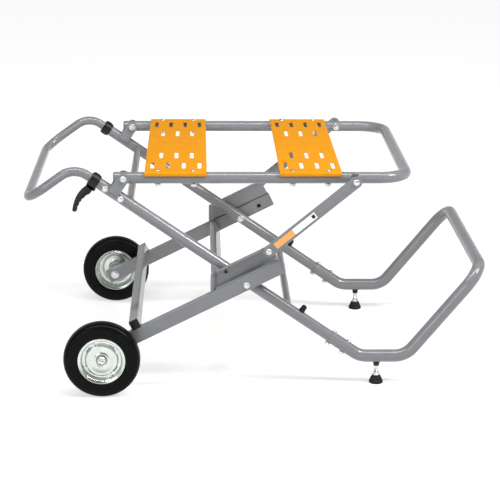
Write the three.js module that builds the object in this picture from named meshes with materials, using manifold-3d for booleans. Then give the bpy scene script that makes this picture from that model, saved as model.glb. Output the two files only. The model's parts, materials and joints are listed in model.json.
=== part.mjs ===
// Folding, wheeled stand for a mitre saw.
// Units are millimetres. X runs from the pull handle to the base bar, Y across the stand
// (+Y is its left side) and Z up. The origin is on the floor, under the middle of the bounding box.

import * as THREE from 'three';
import Module from 'manifold-3d';

const manifoldLibrary = await Module();
manifoldLibrary.setup();
const { Manifold, Mesh: ManifoldMesh } = manifoldLibrary;

// ---------------------------------------------------------------- driving dimensions

const gap = 0.3; // between pieces that touch
const domeHeight = 5; // of every bolt head along Y
const sideSign = { right: -1, left: 1 };
const trackHalf = 325; // centre plane of every side tube
const pivotHeight = 283.7;

// Tubes: outer radius and wall.
const mainTube = { radius: 15, wall: 1.8 };
const handleTube = { radius: 12, wall: 1.8 };
const baseTube = { radius: 16.8, wall: 1.5 };
const railTube = { radius: 15, wall: 1.8 };
const crossTube = { radius: 10, wall: 1.8 };

// Points in the XZ plane, measured from the leg pivot.
const axlePoint = [-376.8, -183.7];
const tableHinge = [-319, 278.3];
const linkTop = [279, 278.3];
const handleVertex = [-445.3, 307.3];
const handleEnd = [-570, 217.3];
const baseLow = -208.8; // height of the base tube's level part
const baseRiseStart = 425.8;
const baseEnd = [620, 31];
const footOffset = 348.3;
const tableEnd = 418;
const railStart = -343;

const mainSlope = THREE.MathUtils.degToRad(-34.6); // main tubes, falling towards the base
const legSlope = THREE.MathUtils.degToRad(26.6); // wheel legs, rising towards the base
const originX = -(handleEnd[0] - handleTube.radius + baseEnd[0] + baseTube.radius) / 2;

// Wheel leg, measured along (s) and across (t) the leg from the axle.
const leg = { height: 38, inner: 347, outer: 367, wall: 2, start: -22, end: 524 };
const legPivot = { s: 419.2, t: -4.4 };
const linkBottom = { s: 511.8, t: 54.6 };
const bracket = {
  start: 335, end: 522, top: 63.6, inner: 347, outer: 366, sheet: 3, topBend: 5, lowBend: 12,
  flangeEnd: 496, notch: 9, endEdge: -80.1, foldReach: 14.5,
};
const legHole = { s: 483, t: -1.5, radius: 6.3 };
const bracketHole = { s: 385.6, t: 49, radius: 5.5 };
const upperMember = { start: 326, length: 20, low: -19, height: 38, wall: 2 };
const lowerBar = { start: 98, size: 25, wall: 2, capFace: 4, capDepth: 14 };

const link = { inner: 373.7, thickness: 5, halfWidth: 15, spacer: 10 };
const wheel = { radius: 100, width: 50, inner: 390, bore: 6.4 };
const axle = { play: 0.1, head: 10, headFace: 431.6, nutLength: 8 };

const plate = { width: 160, sheet: 2.5, lipDrop: 8, bend: 2, centres: [-184, 164.5] };
const slot = { width: 10, length: 76, pitch: 41 };
const slotRows = [[260, [-1.5, -0.5, 0.5, 1.5]], [140, [-1, 0, 1]]]; // distance from the middle, pitches

// ---------------------------------------------------------------- finishes

const paint = { color: 0x84868a, roughness: 0.38, metalness: 0.35 };
const zinc = { color: 0xd9dcdf, roughness: 0.28, metalness: 0.9 };
const orangePaint = { color: 0xf6a01c, roughness: 0.45, metalness: 0.05 };
const blackPlastic = { color: 0x1d1d1f, roughness: 0.55, metalness: 0 };
const blackRubber = { color: 0x141414, roughness: 0.8, metalness: 0 };

// ---------------------------------------------------------------- helpers

const group = new THREE.Group();
group.name = 'saw_stand';

/** Adds a geometry to the stand as a named mesh with a material of its own. */
function add(name, geometry, finish) {
  const mesh = new THREE.Mesh(geometry, new THREE.MeshStandardMaterial(finish));
  mesh.name = name;
  group.add(mesh);
}

/** Welds a geometry's corners and hands it to manifold-3d. */
function toSolid(geometry) {
  const plain = geometry.index ? geometry.toNonIndexed() : geometry;
  const corners = plain.getAttribute('position');
  const known = new Map();
  const vertices = [];
  const triangles = [];
  for (let i = 0; i < corners.count; i += 1) {
    const point = [corners.getX(i), corners.getY(i), corners.getZ(i)];
    const key = point.map((value) => Math.round(value * 1e4)).join(',');
    if (!known.has(key)) {
      known.set(key, known.size);
      vertices.push(...point);
    }
    triangles.push(known.get(key));
  }
  const faces = [];
  for (let i = 0; i < triangles.length; i += 3) {
    const [a, b, c] = triangles.slice(i, i + 3);
    if (a !== b && b !== c && c !== a) faces.push(a, b, c);
  }
  const data = {
    numProp: 3, vertProperties: new Float32Array(vertices), triVerts: new Uint32Array(faces),
  };
  const solid = new Manifold(new ManifoldMesh(data));
  if (solid.volume() > 0) return solid;
  data.triVerts.reverse();
  return new Manifold(new ManifoldMesh(data));
}

/** Turns a manifold-3d solid back into a geometry. */
function toGeometry(solid) {
  const mesh = solid.getMesh();
  const geometry = new THREE.BufferGeometry();
  geometry.setAttribute('position', new THREE.BufferAttribute(new Float32Array(mesh.vertProperties), 3));
  geometry.setIndex(new THREE.BufferAttribute(new Uint32Array(mesh.triVerts), 1));
  const flat = geometry.toNonIndexed();
  flat.computeVertexNormals();
  return flat;
}

/** Cuts a list of geometries from one, and joins another list to it first. */
function carve(geometry, cuts, joins = []) {
  const whole = joins.reduce((solid, piece) => solid.add(toSolid(piece)), toSolid(geometry));
  return toGeometry(cuts.reduce((solid, cut) => solid.subtract(toSolid(cut)), whole));
}

/** A path of straight runs and arcs whose steps fall on the ends and inside of each bend. */
class BentPath extends THREE.Curve {
  constructor(corners, radii, arcStep = THREE.MathUtils.degToRad(20)) {
    super();
    this.knots = [corners[0]];
    this.tangents = [corners[1].clone().sub(corners[0]).normalize()];
    for (let i = 1; i < corners.length - 1; i += 1) {
      this.bend(corners[i - 1], corners[i], corners[i + 1], radii[i - 1], arcStep);
    }
    const last = corners.length - 1;
    this.knots.push(corners[last]);
    this.tangents.push(corners[last].clone().sub(corners[last - 1]).normalize());
    this.steps = this.knots.length - 1;
  }

  bend(before, corner, after, radius, arcStep) {
    const way = corner.clone().sub(before).normalize();
    const onward = after.clone().sub(corner).normalize();
    const turn = way.angleTo(onward);
    const side = onward.clone().addScaledVector(way, -way.dot(onward)).normalize();
    const start = corner.clone().addScaledVector(way, -radius * Math.tan(turn / 2));
    const count = Math.ceil(turn / arcStep);
    for (let k = 0; k <= count; k += 1) {
      const angle = (turn * k) / count;
      const knot = start.clone().addScaledVector(way, radius * Math.sin(angle));
      this.knots.push(knot.addScaledVector(side, radius * (1 - Math.cos(angle))));
      const heading = way.clone().multiplyScalar(Math.cos(angle));
      this.tangents.push(heading.addScaledVector(side, Math.sin(angle)));
    }
  }

  getPoint(t, target = new THREE.Vector3()) {
    const place = t * this.steps;
    const index = Math.min(Math.floor(place + 1e-9), this.steps - 1);
    return target.copy(this.knots[index]).lerp(this.knots[index + 1], place - index);
  }

  getPointAt(u, target) {
    return this.getPoint(u, target);
  }

  getTangentAt(u, target = new THREE.Vector3()) {
    return target.copy(this.tangents[Math.round(u * this.steps)]);
  }
}

/** Ring section of a tube. */
function ringShape({ radius, wall }) {
  const shape = new THREE.Shape();
  shape.absarc(0, 0, radius, 0, Math.PI * 2);
  const bore = new THREE.Path();
  bore.absarc(0, 0, radius - wall, 0, Math.PI * 2, true);
  shape.holes.push(bore);
  return shape;
}

/** A round tube bent along a list of corners. */
function bentTube(section, corners, radii) {
  const path = new BentPath(corners, radii);
  const options = { steps: path.steps, extrudePath: path, curveSegments: 8 };
  return toGeometry(toSolid(new THREE.ExtrudeGeometry(ringShape(section), options)));
}

/** A point of the stand from its offset to the leg pivot. */
function at(dx, y, dz) {
  return new THREE.Vector3(originX + dx, y, pivotHeight + dz);
}

/** The offset of a point s along the main tube, towards the base, and t above its centre line. */
function onMain(s, t = 0) {
  const along = new THREE.Vector2(Math.cos(mainSlope), Math.sin(mainSlope));
  return [along.x * s - along.y * t, along.y * s + along.x * t];
}

/** The offset of a point s along the wheel leg and t above its centre line. */
function onLeg(s, t = 0) {
  const x = Math.cos(legSlope) * s - Math.sin(legSlope) * t;
  const z = Math.sin(legSlope) * s + Math.cos(legSlope) * t;
  return [axlePoint[0] + x, axlePoint[1] + z];
}

/** A solid turned about the Y axis, from [radius, y] pairs, centred on an offset. */
function turned(profile, [dx, dz], segments = 16) {
  const points = profile.map(([radius, y]) => new THREE.Vector2(radius, y));
  const geometry = new THREE.LatheGeometry(points, segments);
  geometry.translate(originX + dx, 0, pivotHeight + dz);
  return geometry;
}

/** A pin or a hole along Y. */
function pin(offset, radius, from, to, segments = 12) {
  return turned([[0, from], [radius, from], [radius, to], [0, to]], offset, segments);
}

/** A bolt along Y: domed head outboard, shank, and nut inboard, on either side of the stand. */
function bolt(offset, side, { shank, head, headFace, nutFace, nutLength = 6 }) {
  const s = sideSign[side];
  const profile = [
    [0, s * (headFace + domeHeight)],
    [head * 0.55, s * (headFace + domeHeight * 0.85)],
    [head * 0.9, s * (headFace + domeHeight * 0.45)],
    [head, s * headFace],
    [shank, s * headFace],
    [shank, s * nutFace],
    [head * 0.85, s * nutFace],
    [head * 0.85, s * (nutFace - nutLength)],
    [0, s * (nutFace - nutLength)],
  ];
  return toGeometry(toSolid(turned(profile, offset, 12)));
}

/** A domed screw along Y from the outboard side, its shank ending inside the tubes. */
function screw(offset, s, headFace) {
  const { shank, head } = foldBolt;
  const profile = [
    [0, headFace + domeHeight], [head * 0.55, headFace + domeHeight * 0.85],
    [head * 0.9, headFace + domeHeight * 0.45], [head, headFace], [shank, headFace],
    [shank, headFace - handleScrew.reach], [0, headFace - handleScrew.reach],
  ].map(([radius, y]) => [radius, s * y]);
  return toGeometry(toSolid(turned(profile, offset, 12)));
}

/** A flat outline in the XZ plane, as offsets, made into a slab between two Y planes. */
function slab(shape, from, to) {
  const low = Math.min(from, to);
  const geometry = new THREE.ExtrudeGeometry(shape, {
    depth: Math.abs(to - from), bevelEnabled: false, curveSegments: 8,
  });
  geometry.rotateX(Math.PI / 2);
  geometry.translate(originX, low + Math.abs(to - from), pivotHeight);
  return geometry;
}

/** A closed outline through offsets. */
function outline(points) {
  return new THREE.Shape(points.map(([x, z]) => new THREE.Vector2(x, z)));
}

/** A rectangle in the leg's own s and t. */
function legBox(s0, s1, t0, t1) {
  return outline([onLeg(s0, t0), onLeg(s1, t0), onLeg(s1, t1), onLeg(s0, t1)]);
}

/** A bar with round ends between two offsets. */
function roundBar(from, to, radius) {
  const angle = Math.atan2(to[1] - from[1], to[0] - from[0]);
  const shape = new THREE.Shape();
  shape.absarc(to[0], to[1], radius, angle - Math.PI / 2, angle + Math.PI / 2);
  shape.absarc(from[0], from[1], radius, angle + Math.PI / 2, angle + Math.PI * 1.5);
  shape.closePath();
  return shape;
}

// ---------------------------------------------------------------- main frame

const mainLength = { start: -484, end: 330, sleeve: 270 };
const upperCross = -369;
const lowerCross = 136;
const collarPlace = { start: -490, end: -466, radius: 20, rim: 3 };
const handleInsert = -375;
const handleBolts = [-444, -396.5];
const baseBolts = [277, 322];
const bracketEar = { halfWidth: 15, inner: 16.3, sheet: 3, reach: 2 };
const bumper = { s: 168, radius: 8.5, height: 17.5, seat: 6 };
const leverPivot = { s: -478, t: -30.5, hub: 9.5, pin: 2.5, hole: 2.7, pinHalf: 11 };
const lug = { reach: -14, inner: 6.8, outer: 10.2, start: -489, end: -463, low: -24 };
const lever = {
  halfThickness: 6.2, root: 11.5, tip: 5, taper: 1.3, shoulder: [-30, -16], end: [-36.5, -58], steps: 24,
  gripStart: 0.25, bump: 1.6, bumpRate: 5.3,
};
const foldBolt = { shank: 5, hole: 5.4, head: 8.5 };
const handleScrew = { reach: 22 }; // length of the shank, which ends inside the handle's tube
const clampBolt = { shank: 4, hole: 4.5, head: 7.5, headHeight: 5, nutHeight: 6 };
const footStud = { radius: 5, hole: 5.3, nut: 8, nutHeight: 6, insideTube: 3 };
const footPad = { radius: 18.8, rim: 4, neck: 10, top: 22 };
const footInsert = { top: 9, bottom: 7.6, height: 9 };
const beyond = 5; // how far a cutter runs past the face it opens

function mainFrame() {
  for (const [side, s] of Object.entries(sideSign)) {
    const y = s * trackHalf;
    add(`main_tube_${side}`, carve(straightTube(mainTube, mainLength.start, mainLength.end, y), [
      throughTube([0, 0], mainTube, y),
      ...handleBolts.map((place) => outboardHole(place, s)),
      ...baseBolts.map((place) => uprightPin(place, y, clampBolt.hole)),
    ]), paint);
    add(`collar_${side}`, collar(side, y), blackPlastic);
    add(`hinge_bracket_${side}`, hingeBracket(y), paint);
    const ears = bracketEar.inner + bracketEar.sheet + gap;
    add(`hinge_bolt_${side}`, bolt(tableHinge, side, {
      ...foldBolt, headFace: trackHalf + ears, nutFace: trackHalf - ears,
    }), zinc);
    const seat = mainTube.radius + gap;
    handleBolts.forEach((place, index) => {
      add(`handle_bolt_${side}_${index + 1}`, screw(onMain(place), s, trackHalf + seat), zinc);
    });
    baseBolts.forEach((place, index) => {
      add(`base_bolt_${side}_${index + 1}`, uprightBolt(place, y), zinc);
    });
    add(`bumper_${side}`, bumperBlock(y), blackRubber);
    add(`foot_insert_${side}`, footInsertPlug(y), blackPlastic);
    add(`foot_nut_${side}`, footNut(y), zinc);
  }
  const { pin: radius, pinHalf } = leverPivot;
  const pivot = onMain(leverPivot.s, leverPivot.t);
  const leverPin = pin(pivot, radius, -trackHalf - pinHalf, -trackHalf + pinHalf);
  add('lever_pin', toGeometry(toSolid(leverPin)), blackPlastic);
  add('handle_tube', carve(handle(), Object.values(sideSign).flatMap((s) => (
    handleBolts.map((place) => outboardHole(place, s))
  ))), paint);
  add('base_tube', carve(base(), Object.values(sideSign).flatMap((s) => [
    ...baseBolts.map((place) => uprightPin(place, s * trackHalf, clampBolt.hole)),
    footHole(s * trackHalf),
  ])), paint);
  add('upper_cross_tube', crossPiece(upperCross), paint);
  add('lower_cross_tube', crossPiece(lowerCross), paint);
}

/** U-shaped pull handle: each arm leaves its main tube, arches over and drops to the grip. */
function handle() {
  const offsets = [onMain(handleInsert), handleVertex, handleEnd];
  const arm = (y) => offsets.map((offset) => at(...offsetAt(offset, y)));
  const corners = [...arm(-trackHalf), ...arm(trackHalf).reverse()];
  return bentTube(handleTube, corners, [59, 60, 60, 59]);
}

/** U-shaped foot tube: a sleeve over each main tube, a level part, a rise and the end bar. */
function base() {
  const levelStart = baseLow / Math.tan(mainSlope);
  const arm = (y) => [onMain(mainLength.sleeve), [levelStart, baseLow], [baseRiseStart, baseLow], baseEnd]
    .map((offset) => at(...offsetAt(offset, y)));
  const corners = [...arm(-trackHalf), ...arm(trackHalf).reverse()];
  return bentTube(baseTube, corners, [60, 60, 62, 62, 60, 60]);
}

/** Round tube welded between the two main tubes at a place along them. */
function crossPiece(place) {
  const end = trackHalf - mainTube.radius - gap;
  const offset = onMain(place);
  return bentTube(crossTube, [at(...offsetAt(offset, -end)), at(...offsetAt(offset, end))], []);
}

/** An offset with a side plane between its two values. */
function offsetAt([dx, dz], y) {
  return [dx, y, dz];
}

/** A straight tube on a main tube's line. */
function straightTube(section, from, to, y) {
  return bentTube(section, [from, to].map((place) => at(...offsetAt(onMain(place), y))), []);
}

/** A solid rod on a main tube's line. */
function rod(radius, from, to, y) {
  const geometry = new THREE.CylinderGeometry(radius, radius, to - from, 20);
  const [dx, dz] = onMain((from + to) / 2);
  geometry.rotateZ(-Math.PI / 2);
  geometry.rotateY(-mainSlope);
  return geometry.translate(originX + dx, y, pivotHeight + dz);
}

/** A bolt hole through a tube whose centre plane is y. */
function throughTube(offset, section, y) {
  const half = section.radius + beyond;
  return pin(offset, foldBolt.hole, y - half, y + half);
}

/** A hole through the outboard walls of a main tube and the handle's tube in it. */
function outboardHole(place, s) {
  return pin(onMain(place), foldBolt.hole, s * trackHalf, s * (trackHalf + mainTube.radius + beyond));
}

/** A hole square to a main tube, in its own side plane. */
function uprightPin(place, y, radius) {
  const height = 2 * (baseTube.radius + beyond);
  return placeUpright(new THREE.CylinderGeometry(radius, radius, height, 12), place, y, 0);
}

/** Stands a geometry made along Y on a main tube's line, t above it. */
function placeUpright(geometry, place, y, t) {
  const [dx, dz] = onMain(place, t);
  geometry.rotateX(Math.PI / 2);
  geometry.rotateY(-mainSlope);
  return geometry.translate(originX + dx, y, pivotHeight + dz);
}

/** Clamp bolt through a base sleeve and the main tube in it: domed head above, nut below. */
function uprightBolt(place, y) {
  const seat = baseTube.radius + gap;
  const { shank, head, headHeight, nutHeight } = clampBolt;
  const points = [
    [0, seat + headHeight], [head * 0.6, seat + headHeight * 0.88], [head * 0.95, seat + headHeight * 0.4],
    [head, seat], [shank, seat], [shank, -seat], [head * 0.87, -seat], [head * 0.87, -seat - nutHeight],
    [0, -seat - nutHeight],
  ].map(([radius, height]) => new THREE.Vector2(radius, height));
  return placeUpright(carve(new THREE.LatheGeometry(points, 12), []), place, y, 0);
}

/** Plastic sleeve on the upper end of a main tube; the right one carries the lever's two lugs. */
function collar(side, y) {
  const { start, end, radius, rim } = collarPlace;
  const hollow = [
    rod(mainTube.radius + gap, start + rim, end + beyond, y),
    rod(handleTube.radius + gap, start - beyond, end + beyond, y),
  ];
  if (side !== 'right') return carve(rod(radius, start, end, y), hollow);
  const pivot = onMain(leverPivot.s, leverPivot.t);
  const shoulder = [
    [lug.start, lug.low], [lug.end, lug.low], [lug.end, lug.reach], [lug.start, lug.reach],
  ].map(([place, t]) => onMain(place, t));
  const lugShapes = [
    outline(shoulder), roundBar(onMain(leverPivot.s, lug.reach), pivot, leverPivot.hub),
  ];
  const lugs = [-1, 1].flatMap((s) => (
    lugShapes.map((shape) => slab(shape, y + s * lug.inner, y + s * lug.outer))
  ));
  return carve(rod(radius, start, end, y), [...hollow, leverHole()], lugs);
}

/** Bore for the lever's pin, through both lugs and the lever. */
function leverHole() {
  const half = lug.outer + beyond;
  return pin(onMain(leverPivot.s, leverPivot.t), leverPivot.hole, -trackHalf - half, -trackHalf + half);
}

/** U-shaped bracket on a main tube whose two ears hold the table's hinge bolt. */
function hingeBracket(y) {
  const { halfWidth, inner, sheet, reach } = bracketEar;
  const s = tableHinge[0] * Math.cos(mainSlope) + tableHinge[1] * Math.sin(mainSlope);
  const box = (half, low, high) => outline([
    onMain(s - half, low), onMain(s + half, low), onMain(s + half, high), onMain(s - half, high),
  ]);
  const ear = roundBar(onMain(s, reach), tableHinge, halfWidth);
  const webLow = mainTube.radius + gap;
  const web = box(halfWidth, webLow, webLow + sheet);
  const outer = inner + sheet;
  return carve(slab(web, y - inner - sheet / 2, y + inner + sheet / 2), [
    slab(box(halfWidth + beyond, reach - halfWidth - beyond, reach), y - outer - beyond, y + outer + beyond),
    pin(tableHinge, foldBolt.hole, y - outer - beyond, y + outer + beyond),
  ], [-1, 1].map((sign) => slab(ear, y + sign * inner, y + sign * outer)));
}

/** Rubber block that the folded table rests on. */
function bumperBlock(y) {
  const { radius, height, s, seat } = bumper;
  const top = mainTube.radius + height;
  const block = new THREE.CylinderGeometry(radius * 0.85, radius, height + seat, 20);
  return carve(placeUpright(block, s, y, top - (height + seat) / 2), [
    rod(mainTube.radius + gap, s - radius - beyond, s + radius + beyond, y),
  ]);
}

/** An upright rod or hole at a foot, between two heights measured from the leg pivot. */
function atFoot(radius, low, high, y, sides = 16) {
  const geometry = new THREE.CylinderGeometry(radius, radius, high - low, sides);
  geometry.rotateX(Math.PI / 2);
  return geometry.translate(originX + footOffset, y, pivotHeight + (low + high) / 2);
}

/** Hole for a foot's stud in the underside of the base tube. */
function footHole(y) {
  return atFoot(footStud.hole, baseLow - baseTube.radius - beyond, baseLow, y);
}

/** Tapered plastic insert that the stud screws into, under the base tube. */
function footInsertPlug(y) {
  const { top, bottom, height } = footInsert;
  const face = baseLow - baseTube.radius - gap;
  const plug = new THREE.CylinderGeometry(top, bottom, height, 20);
  plug.rotateX(Math.PI / 2);
  plug.translate(originX + footOffset, y, pivotHeight + face - height / 2);
  return carve(plug, [atFoot(footStud.hole, face - height - beyond, face + beyond, y)]);
}

/** Lock nut under the insert. */
function footNut(y) {
  const top = baseLow - baseTube.radius - footInsert.height - 2 * gap;
  const low = top - footStud.nutHeight;
  return carve(atFoot(footStud.nut, low, top, y, 6), [atFoot(footStud.hole, low - beyond, top + beyond, y)]);
}

// ---------------------------------------------------------------- wheel frame

function wheelFrame() {
  const half = leg.height / 2;
  const bore = half - leg.wall;
  for (const [side, s] of Object.entries(sideSign)) {
    const across = [s * (leg.inner - beyond), s * (leg.outer + beyond)];
    const solid = slab(legBox(leg.start, leg.end, -half, half), s * leg.inner, s * leg.outer);
    const inside = legBox(leg.start - beyond, leg.end + beyond, -bore, bore);
    add(`wheel_leg_${side}`, carve(solid, [
      slab(inside, s * (leg.inner + leg.wall), s * (leg.outer - leg.wall)),
      pin(onLeg(legPivot.s, legPivot.t), foldBolt.hole, ...across),
      pin(axlePoint, wheel.bore + gap, ...across),
      pin(onLeg(legHole.s, legHole.t), legHole.radius, s * (leg.inner - beyond), s * (leg.inner + beyond)),
    ]), paint);
    add(`leg_pivot_bolt_${side}`, bolt([0, 0], side, {
      ...foldBolt, headFace: leg.outer + gap, nutFace: trackHalf - mainTube.radius - gap,
    }), zinc);
    add(`axle_bolt_${side}`, bolt(axlePoint, side, {
      shank: wheel.bore - axle.play, head: axle.head, headFace: axle.headFace, nutFace: leg.inner - gap,
      nutLength: axle.nutLength,
    }), zinc);
    add(`link_bracket_${side}`, linkBracket(s), paint);
    add(`bar_cap_${side}`, barCap(s), blackPlastic);
  }
  const square = { ...lowerBar, length: lowerBar.size, low: half + gap, height: lowerBar.size };
  add('lower_cross_bar', squareTube(square, leg.outer), paint);
  add('upper_cross_member', squareTube(upperMember, leg.inner - gap), paint);
}

/** Rectangular tube across the stand, its lower face low above the legs' centre lines. */
function squareTube({ start, length, low, height, wall }, halfSpan) {
  const outer = legBox(start, start + length, low, low + height);
  const inner = legBox(start + wall, start + length - wall, low + wall, low + height - wall);
  return carve(slab(outer, -halfSpan, halfSpan), [slab(inner, -halfSpan - beyond, halfSpan + beyond)]);
}

/** Plastic plug in an open end of the lower cross bar. */
function barCap(s) {
  const low = leg.height / 2 + gap;
  const { start, size, wall, capFace, capDepth } = lowerBar;
  const inset = wall + gap;
  const plug = legBox(start + inset, start + size - inset, low + inset, low + size - inset);
  const face = legBox(start, start + size, low, low + size);
  return carve(slab(face, s * (leg.outer + gap), s * (leg.outer + capFace)), [], [
    slab(plug, s * (leg.outer - capDepth), s * (leg.outer + capFace / 2)),
  ]);
}

/** Channel on a leg's upper face, open outboard, with an upright fold that closes its handle end. */
function linkBracket(s) {
  const { start, end, top, inner, outer, sheet, flangeEnd, notch, endEdge, foldReach } = bracket;
  const low = leg.height / 2 + gap;
  const across = [s * (inner - beyond), s * (outer + beyond)];
  const handleSide = outline([
    [endEdge - 2 * outer, -outer], [endEdge, -outer], [endEdge, outer], [endEdge - 2 * outer, outer],
  ]);
  const channel = carve(alongLeg(channelSection(s), start, end), [
    slab(handleSide, ...across),
    slab(legBox(flangeEnd, end + beyond, top - notch, top + beyond), s * (inner + sheet), across[1]),
    pin(onLeg(bracketHole.s, bracketHole.t), bracketHole.radius, across[0], s * (inner + 2 * sheet)),
  ]);
  const fold = new THREE.Shape([
    [endEdge, inner], [endEdge - foldReach, outer - sheet / 2], [endEdge - foldReach + sheet / 2, outer],
    [endEdge + sheet, inner + sheet], [endEdge + sheet, inner],
  ].map(([dx, y]) => new THREE.Vector2(originX + dx, s * y)));
  const plate = new THREE.ExtrudeGeometry(fold, { depth: 2 * pivotHeight, bevelEnabled: false });
  const closed = carve(plate, [
    slab(legBox(0, 2 * end, -end, low + gap), ...across),
    slab(legBox(0, 2 * end, top - gap, end), ...across),
  ]);
  const boss = pin(onLeg(linkBottom.s, linkBottom.t), link.spacer, s * (inner + sheet / 2), s * outer, 20);
  return carve(channel, [], [closed, boss]);
}

/** Section of the link bracket: across the stand, and above the leg's centre line. */
function channelSection(s) {
  const { top, inner, outer, sheet, topBend, lowBend } = bracket;
  const low = leg.height / 2 + gap;
  const corner = (y, t, radius, from) => [0, 1, 2, 3, 4].map((step) => {
    const angle = from + (step * Math.PI) / 8;
    return [y + radius * Math.cos(angle), t + radius * Math.sin(angle)];
  });
  const outside = [
    ...corner(inner + topBend, top - topBend, topBend, Math.PI / 2),
    ...corner(inner + lowBend, low + lowBend, lowBend, Math.PI),
  ];
  const inside = [
    ...corner(inner + topBend, top - topBend, topBend - sheet, Math.PI / 2),
    ...corner(inner + lowBend, low + lowBend, lowBend - sheet, Math.PI),
  ];
  const points = [
    [outer, top], ...outside, [outer, low], [outer, low + sheet], ...inside.reverse(), [outer, top - sheet],
  ];
  return new THREE.Shape(points.map(([y, t]) => new THREE.Vector2(s * y, t)));
}

/** A section across the stand, drawn out along the wheel leg. */
function alongLeg(shape, from, to) {
  const geometry = new THREE.ExtrudeGeometry(shape, { depth: to - from, bevelEnabled: false });
  const [dx, dz] = onLeg(from);
  const along = new THREE.Vector3(Math.cos(legSlope), 0, Math.sin(legSlope));
  const above = new THREE.Vector3(-Math.sin(legSlope), 0, Math.cos(legSlope));
  const frame = new THREE.Matrix4().makeBasis(new THREE.Vector3(0, 1, 0), above, along);
  return geometry.applyMatrix4(frame).translate(originX + dx, 0, pivotHeight + dz);
}

// ---------------------------------------------------------------- table

function table() {
  const railHoles = Object.values(sideSign).flatMap((s) => (
    [tableHinge, linkTop].map((offset) => throughTube(offset, railTube, s * trackHalf))
  ));
  const height = tableHinge[1];
  const corners = [[railStart, -1], [tableEnd, -1], [tableEnd, 1], [railStart, 1]]
    .map(([dx, s]) => at(dx, s * trackHalf, height));
  add('table_frame', carve(bentTube(railTube, corners, [75, 75]), railHoles), paint);
  plate.centres.forEach((centre, index) => {
    add(['mounting_plate_handle_end', 'mounting_plate_base_end'][index], mountingPlate(centre), orangePaint);
  });
  for (const [side, s] of Object.entries(sideSign)) {
    const rail = trackHalf + railTube.radius + gap;
    const spacer = pin(linkTop, link.spacer, s * rail, s * (link.inner - gap), 20);
    add(`link_spacer_${side}`, carve(spacer, [
      pin(linkTop, foldBolt.hole, s * (rail - beyond), s * (link.inner + beyond)),
    ]), zinc);
  }
}

/** Sheet plate across both rails, its ends folded down over them, with staggered slots. */
function mountingPlate(middle) {
  const { width, sheet, lipDrop, bend } = plate;
  const under = tableHinge[1] + railTube.radius + gap;
  const reach = trackHalf + railTube.radius + gap;
  const section = new THREE.Shape();
  const face = reach + sheet;
  const centre = reach - bend;
  section.moveTo(-face, -lipDrop);
  section.absarc(-centre, -bend, bend + sheet, Math.PI, Math.PI / 2, true);
  section.absarc(centre, -bend, bend + sheet, Math.PI / 2, 0, true);
  section.lineTo(face, -lipDrop);
  section.lineTo(reach, -lipDrop);
  section.absarc(centre, -bend, bend, 0, Math.PI / 2);
  section.absarc(-centre, -bend, bend, Math.PI / 2, Math.PI);
  section.lineTo(-reach, -lipDrop);
  const options = { depth: width, bevelEnabled: false, curveSegments: 5 };
  const sheetMetal = new THREE.ExtrudeGeometry(section, options);
  sheetMetal.rotateX(Math.PI / 2);
  sheetMetal.rotateZ(Math.PI / 2);
  const place = at(middle - width / 2, 0, under);
  sheetMetal.translate(place.x, place.y, place.z);
  const slots = slotRows.flatMap(([row, steps]) => (
    steps.flatMap((step) => [-row, row].map((y) => slotCut(middle + step * slot.pitch, y, under)))
  ));
  return carve(sheetMetal, slots);
}

/** Cutter for one slot, its long side across the stand. */
function slotCut(dx, y, under) {
  const r = slot.width / 2;
  const straight = slot.length / 2 - r;
  const shape = new THREE.Shape();
  shape.absarc(0, straight, r, 0, Math.PI);
  shape.absarc(0, -straight, r, Math.PI, Math.PI * 2);
  const depth = plate.sheet + 2 * beyond;
  const cut = new THREE.ExtrudeGeometry(shape, { depth, bevelEnabled: false, curveSegments: 3 });
  const place = at(dx, y, under - beyond);
  return cut.translate(place.x, place.y, place.z);
}

// ---------------------------------------------------------------- links

function links() {
  const bottom = onLeg(linkBottom.s, linkBottom.t);
  for (const [side, s] of Object.entries(sideSign)) {
    const faces = [s * link.inner, s * (link.inner + link.thickness)];
    const bar = slab(roundBar(bottom, linkTop, link.halfWidth), ...faces);
    add(`link_${side}`, carve(bar, [bottom, linkTop].map((offset) => (
      pin(offset, foldBolt.hole, s * (link.inner - beyond), s * (link.inner + link.thickness + beyond))
    ))), paint);
    const headFace = link.inner + link.thickness + gap;
    add(`link_top_bolt_${side}`, bolt(linkTop, side, {
      ...foldBolt, headFace, nutFace: trackHalf - railTube.radius - gap,
    }), zinc);
    add(`link_bottom_bolt_${side}`, linkBottomBolt(bottom, s, headFace), zinc);
  }
}

/** Lower pivot of a link: domed head, shank and the spacer that stands off the bracket. */
function linkBottomBolt(offset, s, headFace) {
  const spacerEnd = link.inner - gap;
  const seat = bracket.outer + gap;
  const { shank, head } = foldBolt;
  const profile = [
    [0, headFace + domeHeight], [head * 0.55, headFace + domeHeight * 0.85],
    [head * 0.9, headFace + domeHeight * 0.45], [head, headFace], [shank, headFace], [shank, spacerEnd],
    [link.spacer, spacerEnd], [link.spacer, seat], [0, seat],
  ].map(([radius, y]) => [radius, s * y]);
  return toGeometry(toSolid(turned(profile, offset, 16)));
}

// ---------------------------------------------------------------- wheels

/** Outline of the solid rubber tyre: radius against the distance outboard of its middle. */
const tyreProfile = [
  [56.6, -20], [56.6, 20], [63, 20], [65, 23.5], [72, 25], [86, 25], [94, 22.5], [98.5, 17], [100, 10],
  [100, -10], [98.5, -17], [94, -22.5], [86, -25], [72, -25], [65, -23.5], [63, -20],
];

function wheels() {
  for (const [side, s] of Object.entries(sideSign)) {
    const middle = s * (wheel.inner + wheel.width / 2);
    const spun = (section) => {
      const loop = [...section, section[0]].map(([radius, y]) => [radius, middle + s * y]);
      return toGeometry(toSolid(turned(loop, axlePoint, 28)));
    };
    add(`tyre_${side}`, spun(tyreProfile), blackRubber);
    add(`wheel_rim_${side}`, spun(rimSection()), zinc);
  }
}

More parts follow.
